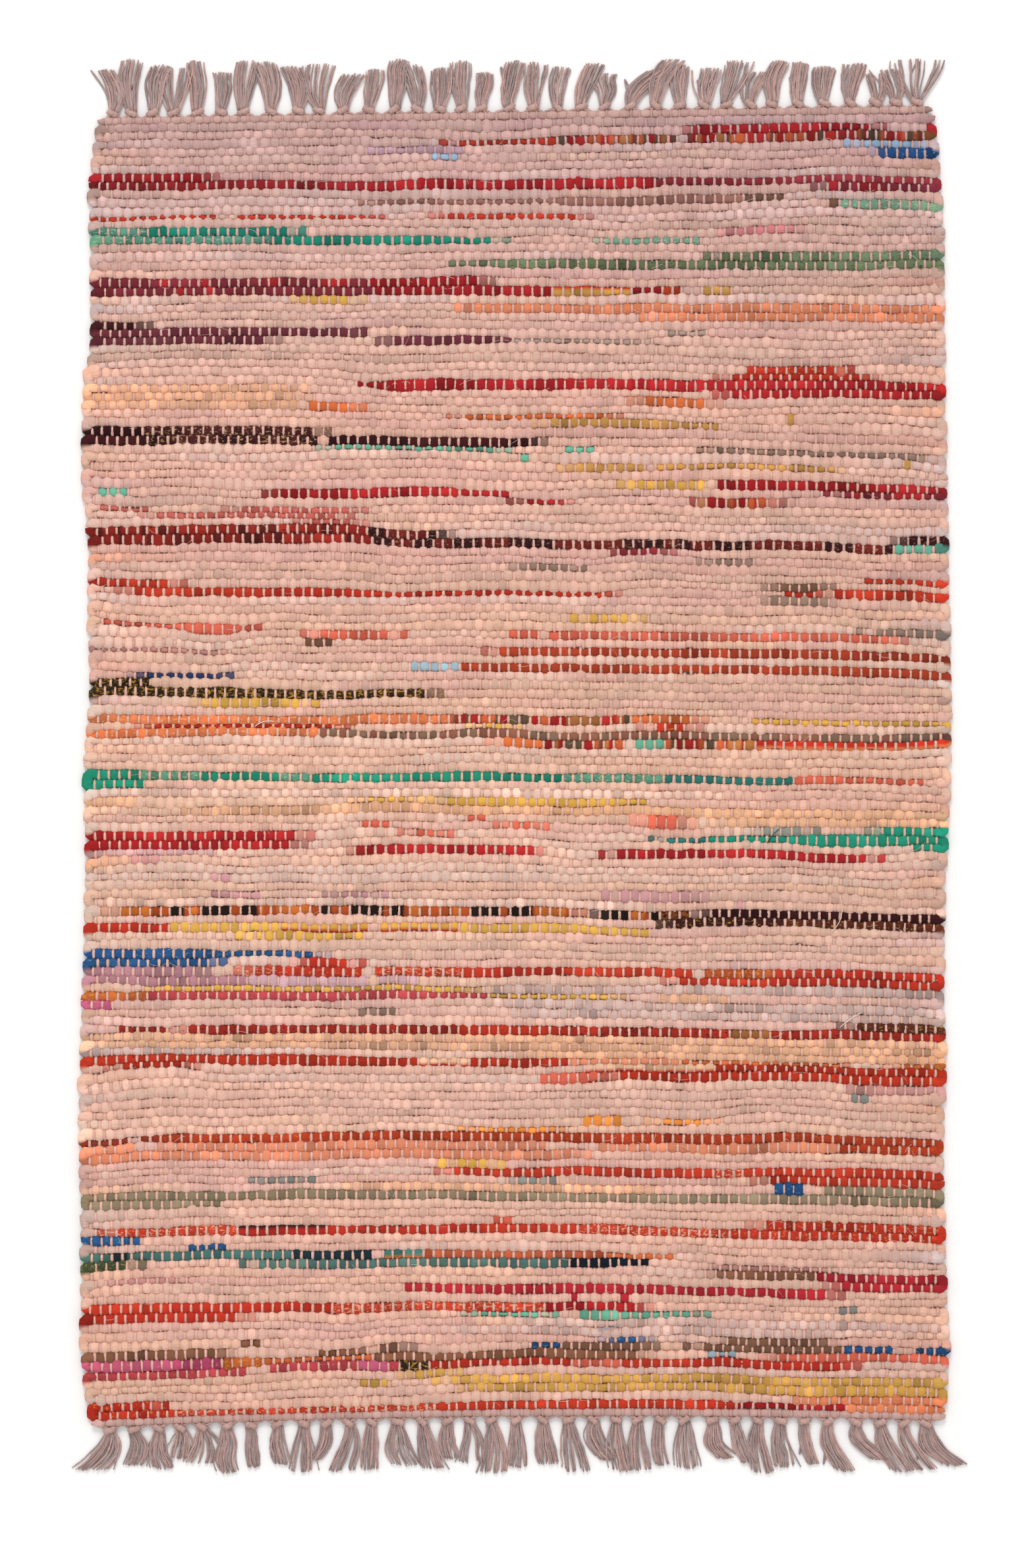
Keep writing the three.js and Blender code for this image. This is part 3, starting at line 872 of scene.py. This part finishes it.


# Soft-spun cotton yarn, with painted shade between its plies
def warpYarn():
    yarn = Finish("warpYarn")
    place = yarn.node("TexCoord", output="Object")
    dyed = yarn.node("Attribute", {"attribute_name": "dyeColour"}, output="Color")
    plies = yarn.noise(place, yarnFinish["plies"], (1.6, 1, 1), 3.0)
    cloudy = yarn.noise(place, yarnFinish["clouds"])
    # the colour is darker where the ply bump is low, which is painted shade, and varies with the clouds,
    # which is real tone
    colour = yarn.brightened(dyed, 0.55 + 0.6 * plies + 0.3 * cloudy)
    return yarn.cloth(colour, plies, yarnFinish["depth"], 0.9, 0.15)


finishes = {"rag": ragCloth(), "yarn": warpYarn()}
yarnTones = {
    "field": linear("#E8B8A6"),
    "heading": linear("#C09C94"),
    "knot": linear("#BC9A92"),
    "fringe": [linear(tone) for tone in ("#A48E8B", "#AE9590", "#9E8784", "#B4928C", "#BE9D95", "#A28B88")],
}
print("finishes ready")

# One ring: x y z, half width, half height, three dyes of four numbers, eight folds
foldCount = 8
foldSizes = [1 + weave["looseness"] * wander(rowCount, ringCount, 4) for _ in range(foldCount)]
foldSizes = np.where(isRag[..., None], np.stack(foldSizes, -1), 1)
dyes = np.zeros((rowCount, ringCount, 12))
dyes[middleRows] = np.concatenate([dye["base"], dye["print"], dye["edge"]], -1)
headingDye = yarnTones["heading"] * (1 + 0.07 * wander(rowCount, ringCount, 3))[..., None]
dyes[..., :3] = np.where(isRag[..., None], dyes[..., :3], headingDye)
rowRings = np.concatenate([np.stack([ringX, ringY, ringZ, ringWide, ringTall], -1), dyes, foldSizes], -1)


# Half a turn of the rag round the last warp end, from one row to the next
def turnRings(row, following, side):
    end = 0 if side < 0 else -1
    inner = rowRings[row, end]
    if 0 <= following < rowCount and isRag[row, 0] == isRag[following, 0]:
        outer = rowRings[following, end]
    else:
        outer = inner.copy()
        outer[1] -= math.copysign(1.1 * inner[3], following - row)
    angle = np.linspace(0, math.pi, 7)[1:-1]
    blend = (1 - np.cos(angle))[:, None] / 2
    turned = inner * (1 - blend) + outer * blend
    half = (inner[1] - outer[1]) / 2
    reach = weave["turnReach"] * (1 if isRag[row, 0] else 0.9)
    loose = rng.normal(0, 0.25)
    turned[:, 0] = (inner[0] + outer[0]) / 2 + side * (reach + loose) * np.sin(angle) ** 0.42
    cos = np.cos(angle)
    turned[:, 1] = (inner[1] + outer[1]) / 2 + 1.2 * half * np.sign(cos) * np.abs(cos) ** 0.55
    turned[:, 2] = turned[:, 2] * 0.3 + 0.7 * (weave["middleHeight"] + 0.3 * np.sin(angle))
    if isRag[row, 0]:
        turned[:, 3] = np.clip(turned[:, 3], weave["turnHalfWidth"], abs(half) * 1.2 + 0.6)
        turned[:, 4] = np.maximum(turned[:, 4], weave["ragHalfHeight"] * 0.9)
    dyeCut = slice(5, 17)
    turned[:, dyeCut] = np.where(blend < 0.5, inner[dyeCut], outer[dyeCut])
    return turned


def weaveRows(first, count, name, node, finish):
    run = []
    for row in range(first, first + count):
        side = 1 if row % 2 == 0 else -1       # the selvedge this row runs towards
        if row == first:
            run.append(turnRings(row, row - 1, -side)[:3][::-1])
        run.append(rowRings[row, ::side])
        run.append(turnRings(row, row + 1, side)[:3 if row == first + count - 1 else 5])
    run = np.concatenate(run)
    strip = TubeMesh()
    along = np.gradient(run[:, :2], axis=0)
    angle = 2 * math.pi * np.arange(foldCount) / foldCount
    towardFar = np.cos(angle) * np.sign(along[:, :1])
    colour = np.repeat(run[:, None, 5:8], foldCount, 1)
    edge = run[:, None, 16:17]
    rolled = edge * towardFar[..., None] > 0.3
    colour = np.where(rolled, run[:, None, 13:16], colour)
    strip.addTubes(run[None, :, :3], run[None, :, 3], run[None, :, 4], foldCount, colour[None],
                   np.repeat(run[None, :, None, 9:13], foldCount, 2), run[None, :, 17:], 0.82)
    piece = strip.make(name, finish)
    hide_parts(node)
    return piece


bandCount = pickCount // weave["picksPerBand"]
bands = []
for band in range(bandCount):
    first = headingRows + band * weave["picksPerBand"]
    number = bandCount - band      # bands are counted from the near end
    bands.append(weaveRows(first, weave["picksPerBand"], f"rag_weft_{number:02d}",
                           f"weft_band_{number:02d}", finishes["rag"]))
headings = {
    "far": weaveRows(0, headingRows, "far_heading_yarn", "far_heading", finishes["yarn"]),
    "near": weaveRows(rowCount - headingRows, headingRows, "near_heading_yarn", "near_heading",
                      finishes["yarn"]),
}
print("woven:", len(bands), "bands and two headings")

# The warp: each end runs over and under the rows, then gathers into its tassel's knot
warp = {
    "radius": 1.05,
    # how much wider over plain rows, from the far end to the near end
    "plainWide": [1.0, 1.0, 1.22, 1.32, 1.32],
    "over": 1.5,                   # above the middle of the cloth, where it shows
    "under": 1.6,
    "hold": 0.27,                  # half of how long it stays up, in rows
    "flatness": 0.74,              # its height to its width
    "sides": 4,
}
rowStep = -np.gradient(ringY[:, ::perEnd], axis=0)
crossingY = ringY[:, ::perEnd]
isOver = (np.arange(rowCount)[:, None] + np.arange(endCount)) % 2 == 0
overPlain = np.ones((rowCount, endCount), bool)
overPlain[middleRows] = isGround[:, ::perEnd]
overPlain &= isOver
lift = np.where(isRag, 1, 0.9)
crossingZ = weave["middleHeight"] + lift * np.where(isOver, warp["over"], -warp["under"])
crossingZ += np.where(isOver & isRag, 0.12, 0) * rng.standard_normal((rowCount, endCount)) - 0.1 * overPlain
plainWide = np.interp(rowShare, np.linspace(0, 1, len(warp["plainWide"])), warp["plainWide"])
crossingWide = np.where(overPlain, plainWide, 1)
crossingX = endX + 0.12 * rng.standard_normal((rowCount, endCount))


def knotPlace(bundle, side):
    ends = slice(bundleStart[bundle], bundleStart[bundle + 1])
    row = 0 if side > 0 else -1
    x = endX[row, ends].mean()
    edge = farEnd(x / 300) if side > 0 else nearEnd(x / 300)
    return np.array([x, edge + side * fringe["knotGap"], 3.0]), edge


# From the last row into the knot, from the cloth outwards
def gather(end, bundle, side):
    knot, edge = knotPlace(bundle, side)
    row = 0 if side > 0 else -1
    share = (end - bundleMiddle[bundle]) / 2
    x = endX[row, end]
    inKnot = knot[0] + 0.9 * share
    return [
        (x, edge + side * 0.3, 3.2),
        (x * 0.55 + inKnot * 0.45, edge + side * 1.5, 3.3 + 0.2 * rng.standard_normal()),
        (inKnot, edge + side * (fringe["knotGap"] - 0.6), 3.0 + 0.3 * rng.standard_normal()),
    ]


def warpPath(end, bundle):
    path = gather(end, bundle, 1)[::-1]
    for row in range(rowCount):
        x, y, z = crossingX[row, end], crossingY[row, end], crossingZ[row, end]
        hold = warp["hold"] * rowStep[row, end]
        path += [(x, y + hold, z), (x, y - hold, z)]
    return path + gather(end, bundle, -1)


# An overhand knot: a long loop of the gathered yarns, drawn tight and pressed flat
def knotCurve(count):
    t = np.linspace(-2.08, 2.08, count)
    return np.stack([t ** 3 - 3 * t, t ** 5 / 5 - 2 * t, 0.52 * (t ** 4 - 4 * t ** 2 + 1.7)], -1)


def addKnot(threads, knot, side, colour):
    curve = knotCurve(44) * fringe["knotShape"] * rng.uniform(0.9, 1.1, 3)
    curve[:, 0] *= rng.choice([-1, 1])
    turn = rng.normal(0, fringe["knotTurn"])
    spun = np.array([[math.cos(turn), math.sin(turn)], [-math.sin(turn), math.cos(turn)]])
    curve[:, :2] = curve[:, :2] @ spun
    curve[:, 1] *= side
    centres = curve + knot + (0, 0, 0.1)
    # frames carried along the curve, so that the cord doesn't twist at its steep places
    along = np.gradient(centres, axis=0)
    along /= np.linalg.norm(along, axis=1)[:, None]
    across = np.empty_like(along)
    across[0] = np.cross(along[0], (0, 0, 1))
    for i in range(len(along)):
        if i:
            across[i] = across[i - 1]
        across[i] -= along[i] * (across[i] @ along[i])
        across[i] /= np.linalg.norm(across[i])
    upward = np.cross(along, across)
    sides = 10
    angle = 2 * math.pi * np.arange(sides) / sides
    twist = np.linspace(0, 5.0, len(along))[:, None]
    lobes = 1 + 0.16 * np.cos(5 * angle + 2 * twist)
    radius = fringe["cordRadius"] * rng.uniform(0.92, 1.12) * lobes
    points = centres[:, None] + across[:, None] * (radius * np.cos(angle))[..., None]
    points = points + upward[:, None] * (radius * np.sin(angle))[..., None]
    points[..., 2] = np.maximum(points[..., 2], 0.25)
    tone = colour * (1 + 0.10 * rng.standard_normal((len(along), 1, 1)))
    tone = np.broadcast_to(blurred(tone[:, 0].T, 2).T[:, None], points.shape)
    threads.addRings(points[None], tone[None])


# The cut yarns beyond a knot, in their plies: a flat bundle that fans out a little on the floor
def addStrands(threads, bundle, side):
    word = "far" if side > 0 else "near"
    knot = knotPlace(bundle, side)[0]
    lean, fan = fringe[word + "Lean"][bundle], fringe[word + "Fan"][bundle]
    count = bundleEnds[bundle] * fringe["strandsPerEnd"]
    trim = fringe["trims"][(bundle * 3 + (side > 0)) % len(fringe["trims"])]
    tip = side * (fringe["tipReach"] - trim) - knot[1]
    place = np.linspace(-1, 1, count) + rng.normal(0, 0.12, count)
    s = np.linspace(0, 1, fringe["rings"])
    reach = tip * (1 - np.abs(rng.normal(0, 0.03, count)) - 0.04 * place ** 2)
    tipX = lean + fan * place * rng.uniform(1.0, 1.35) + rng.normal(0, 0.5, count)
    # some tassels part in two, and a strand or two strays
    parted = rng.random() < fringe["parted"]
    tipX += parted * np.sign(place - rng.normal(0, 0.4)) * rng.uniform(0.6, 2.2)
    stray = rng.random(count) < fringe["stray"]
    tipX[stray] += rng.normal(0, 6, stray.sum())
    # the whole bundle bows and sways together, each strand a little on its own
    bow = rng.normal(0, 1.6) - 0.25 * lean
    sway, beat, start = rng.normal(0, 0.8), rng.uniform(0.6, 1.2), rng.uniform(0, 2 * math.pi)
    ownSway = rng.normal(0, 0.32, count)[:, None]
    ownBeat = rng.uniform(1.2, 3.0, count)[:, None]
    ownStart = rng.uniform(0, 2 * math.pi, count)[:, None]
    ownWave = np.sin(2 * math.pi * ownBeat * s + ownStart)
    root = 2.9 * place + rng.uniform(-1.2, 1.2)
    path = np.empty((count, fringe["rings"], 3))
    path[..., 0] = knot[0] + root[:, None] + (tipX - root)[:, None] * s ** 1.1
    path[..., 0] += (bow + 0.22 * fan * place)[:, None] * np.sin(math.pi * s)
    path[..., 0] += sway * (np.sin(2 * math.pi * beat * s + start) - math.sin(start)) * s ** 0.5
    path[..., 0] += ownSway * ownWave * s ** 0.5
    path[..., 1] = knot[1] + side * 0.9 + (reach - side * 0.9)[:, None] * s
    settled = 0.75 + 1.5 * rng.random(count) ** 1.3
    fall = np.exp(-4.5 * s)
    path[..., 2] = settled[:, None] * (1 - fall) + (2.9 + 0.4 * rng.standard_normal(count))[:, None] * fall
    path[..., 2] += 0.35 * np.abs(ownWave) * s
    thick = fringe["strandRadius"] * rng.uniform(0.7, 1.2, count)[:, None]
    radius = thick * (1 + 0.10 * rng.standard_normal((count, fringe["rings"]))) * (1 - 0.25 * s ** 8)
    path[..., 2] = np.maximum(path[..., 2], radius + 0.15)
    tones = np.array([yarnTones["fringe"][i] for i in rng.integers(0, len(yarnTones["fringe"]), count)])
    colour = tones[:, None, None] * (1 + 0.07 * rng.standard_normal((count, fringe["rings"], 1, 1)))
    colour = np.broadcast_to(colour, (count, fringe["rings"], 5, 3))
    threads.addTubes(path, radius, radius * 0.85, 5, colour)
    addLoops(threads, knot, side, tip)


# Now and then a strand doubles back in an open loop
def addLoops(threads, knot, side, tip):
    if rng.random() > fringe["looped"]:
        return
    t = np.linspace(0, 1, 14)
    width, reach = rng.uniform(4, 8) * rng.choice([-1, 1]), tip * rng.uniform(0.45, 0.85)
    loop = np.stack([knot[0] + width * np.sin(math.pi * t) * (0.6 + 0.4 * t),
                     knot[1] + side * 0.9 + reach * np.sin(math.pi * t * 0.8) / math.sin(math.pi * 0.5),
                     1.0 + 1.8 * (1 - t) ** 3], -1)
    radius = np.full((1, len(t)), fringe["strandRadius"] * 0.8)
    colour = np.broadcast_to(yarnTones["fringe"][0], (1, len(t), 4, 3))
    threads.addTubes(loop[None], radius, radius, 4, colour)


def makeTassel(bundle):
    threads = TubeMesh()
    ends = range(bundleStart[bundle], bundleStart[bundle + 1])
    paths = np.array([warpPath(end, bundle) for end in ends])
    thick = warp["radius"] * rng.uniform(0.86, 1.12, paths.shape[:2])
    ending = 3 + 2 * headingRows
    thick[:, 3:-3] *= np.repeat(crossingWide[:, list(ends)], 2, axis=0).T
    slim = np.ones(paths.shape[1])
    slim[:ending] = slim[-ending:] = 0.85
    colour = yarnTones["field"] * castAt(paths[..., 0], paths[..., 1])
    colour *= 1 + 0.05 * rng.standard_normal((*paths.shape[:2], 1))
    ground = yarnTones["heading"]
    for cut in (slice(0, ending), slice(-ending, None)):
        colour[:, cut] = ground * (1 + 0.06 * rng.standard_normal((len(paths), ending, 1)))
    sides = warp["sides"]
    tall = thick.clip(None, 1.1) * slim * warp["flatness"]
    threads.addTubes(paths, thick * slim, tall, sides, np.repeat(colour[:, :, None], sides, 2))
    for side in (1, -1):
        knot = knotPlace(bundle, side)[0]
        addKnot(threads, knot, side, yarnTones["knot"])
        addStrands(threads, bundle, side)
    number = bundle + 1
    piece = threads.make(f"warp_and_tassels_{number:02d}", finishes["yarn"])
    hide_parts(f"warp_bundle_{number:02d}")
    return piece


tassels = [makeTassel(bundle) for bundle in range(weave["tassels"])]
print("warped and knotted:", len(tassels), "bundles")

# Frayed threads that lie on the cloth
fray = {
    "threads": 650,
    "spread": (292, 440),          # half of the field they lie on
    "length": (3.5, 11),
    "radius": 0.1,
    "height": 5.5,
    "tones": ["#E8CCBE", "#DDB4A4", "#F0E2D6"],
    # (across in cm, down in cm, length in mm, turn in degrees, tone)
    "placed": [(47.9, 49.9, 13, 50, "#1E1618"), (52.2, 55.4, 24, 75, "#EAD6CA"),
               (23.6, 51.8, 16, 20, "#EAD6CA"), (36.5, 83.8, 15, 10, "#7E96B4"),
               (53.2, 62.6, 18, 35, "#F0E6DE"), (12.8, 42.2, 14, 15, "#F0E6DE")],
}


def makeFray():
    threads = TubeMesh()
    count = fray["threads"]
    x = rng.uniform(-fray["spread"][0], fray["spread"][0], count)
    y = rng.uniform(-fray["spread"][1], fray["spread"][1], count)
    turn = rng.normal(0, 0.5, count)
    length = rng.uniform(*fray["length"], count)
    tones = np.array([linear(tone) for tone in fray["tones"]])
    tones = tones[rng.integers(0, len(tones), count)]
    for acrossCm, downCm, reach, degrees, tone in fray["placed"]:
        x = np.append(x, acrossCm * 10 - 300)
        y = np.append(y, farMiddle - downCm * 10)
        turn = np.append(turn, math.radians(degrees))
        length = np.append(length, reach)
        tones = np.vstack([tones, linear(tone)])
    s = np.linspace(-0.5, 0.5, 7)
    bend = rng.normal(0, 0.22, len(x))
    line = s * length[:, None]
    aside = bend[:, None] * length[:, None] * (0.25 - s ** 2) * 2
    cos, sin = np.cos(turn)[:, None], np.sin(turn)[:, None]
    height = fray["height"] + 0.9 * np.abs(np.cos(2.4 * s * math.pi + turn[:, None]))
    across = x[:, None] + line * cos - aside * sin
    down = y[:, None] + line * sin + aside * cos
    path = np.stack([across, down, height], -1)
    radius = np.full(path.shape[:2], fray["radius"])
    radius[-len(fray["placed"]):] *= 3.2
    colour = np.repeat(np.repeat(tones[:, None, None], 7, 1), 3, 2)
    threads.addTubes(path, radius, radius, 3, colour)
    return threads.make("frayed_threads", finishes["yarn"])


looseThreads = makeFray()

# For each band, the tassels, the headings and the frayed threads that go with it are gathered into a list
for index, band in enumerate(bands):
    share = tassels[index * len(tassels) // bandCount:(index + 1) * len(tassels) // bandCount]
    companions = share + ([headings["far"]] if index == 0 else [])
    companions += [headings["near"], looseThreads] if index == bandCount - 1 else []

# Floor, camera and light
studio = {
    "aim": (-3.4, -12.3),          # the point under the lens
    "tall": 1083.0,                # how much of the floor the camera takes in
    "height": 3000.0,
    "floorTone": (0.93, 0.93, 0.93, 1),
    "skyStrength": 0.90,
    "keyPower": 250.0,
    "keyFrom": (-0.6, 6.0, 5.6),
    "keySize": 2.6,
}


def makeFloor():
    bpy.ops.mesh.primitive_plane_add(size=14)
    floor = bpy.context.object
    floor.name = "floor"
    finish = Finish("paperFloor")
    shader = finish.node("BsdfPrincipled", inputs={"Base Color": studio["floorTone"], "Roughness": 0.9,
                                                    "Specular IOR Level": 0.1})
    finish.node("OutputMaterial", inputs={"Surface": shader})
    floor.data.materials.append(finish.material)


def makeCamera():
    lens = bpy.data.cameras.new("camera")
    camera = bpy.data.objects.new("camera", lens)
    bpy.context.collection.objects.link(camera)
    camera.location = (studio["aim"][0] * mm, studio["aim"][1] * mm, studio["height"] * mm)
    lens.sensor_width = 36
    lens.lens = lens.sensor_width * studio["height"] / studio["tall"]
    lens.clip_end = 30
    bpy.context.scene.camera = camera


def makeLight():
    world = bpy.data.worlds.new("studio")
    world.use_nodes = True
    world.node_tree.nodes["Background"].inputs["Color"].default_value = (1.0, 0.985, 0.97, 1)
    world.node_tree.nodes["Background"].inputs["Strength"].default_value = studio["skyStrength"]
    bpy.context.scene.world = world
    key = bpy.data.lights.new("key", "AREA")
    key.energy = studio["keyPower"]
    key.size = studio["keySize"]
    lamp = bpy.data.objects.new("key", key)
    lamp.location = studio["keyFrom"]
    lamp.rotation_euler = Vector(studio["keyFrom"]).to_track_quat("Z", "Y").to_euler()
    bpy.context.collection.objects.link(lamp)
    bpy.context.scene.view_settings.view_transform = "Standard"


makeFloor()
makeCamera()
makeLight()
print("lit")
